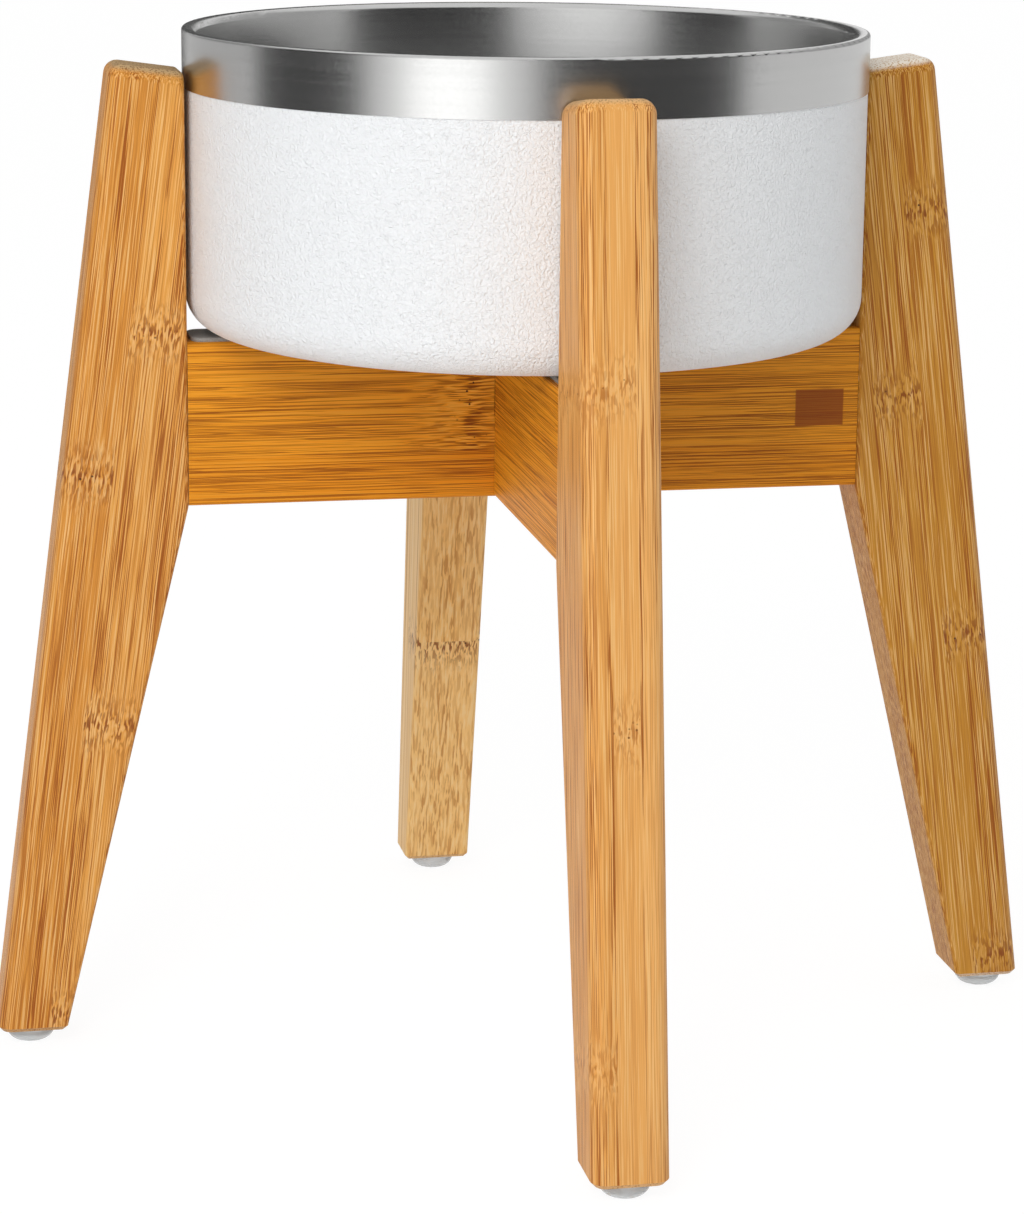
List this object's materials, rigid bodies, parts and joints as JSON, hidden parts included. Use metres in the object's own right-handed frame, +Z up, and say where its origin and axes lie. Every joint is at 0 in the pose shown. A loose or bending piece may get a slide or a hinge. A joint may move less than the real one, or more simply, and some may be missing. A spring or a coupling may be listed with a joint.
{
  "type": "dog bowl stand",
  "caption": "Raised bamboo dog bowl stand: leaning legs pinned to crossed half-lapped rails carry a double-walled steel bowl that lifts out.",
  "frame": {"origin": "on the floor, under the crossing of the rails", "axes": "+Z up along the bowl's axis, the upper rail and the front and back legs along Y with the front leg at -Y, the lower rail and the other two legs along X"},
  "size_m": [0.3352, 0.3352, 0.3165],
  "materials": {
    "bamboo_leg": "sanded and clear lacquered bamboo",
    "bamboo_rail": "sanded and clear lacquered darker bamboo",
    "beech_dowel": "turned beech, glued",
    "clear_bumper": "clear moulded polyurethane",
    "grey_pad": "matt grey foam rubber",
    "satin_steel": "satin stainless steel",
    "white_coat": "white textured powder coat",
    "dark_rubber": "matt moulded silicone rubber"
  },
  "bodies": {
    "stand": {"rail_lower": "bamboo_rail", "rail_upper": "bamboo_rail", "leg_right": "bamboo_leg", "leg_back": "bamboo_leg", "leg_left": "bamboo_leg", "leg_front": "bamboo_leg", "foot_right": "clear_bumper", "foot_back": "clear_bumper", "foot_left": "clear_bumper", "foot_front": "clear_bumper", "rail_pad_right": "grey_pad", "rail_pad_back": "grey_pad", "rail_pad_left": "grey_pad", "rail_pad_front": "grey_pad", "dowel_lower_right": "beech_dowel", "dowel_lower_back": "beech_dowel", "dowel_lower_left": "beech_dowel", "dowel_lower_front": "beech_dowel", "dowel_upper_right": "beech_dowel", "dowel_upper_back": "beech_dowel", "dowel_upper_left": "beech_dowel", "dowel_upper_front": "beech_dowel"},
    "bowl": {"bowl_liner": "satin_steel", "bowl_shell": "white_coat", "bowl_base_plate": "satin_steel", "bowl_base_ring": "dark_rubber"}
  },
  "joints": [
    {"name": "bowl_lift", "type": "slide", "parent": "stand", "child": "bowl", "axis": [0, 0, 1], "range_m": [0, 0.1]}
  ]
}
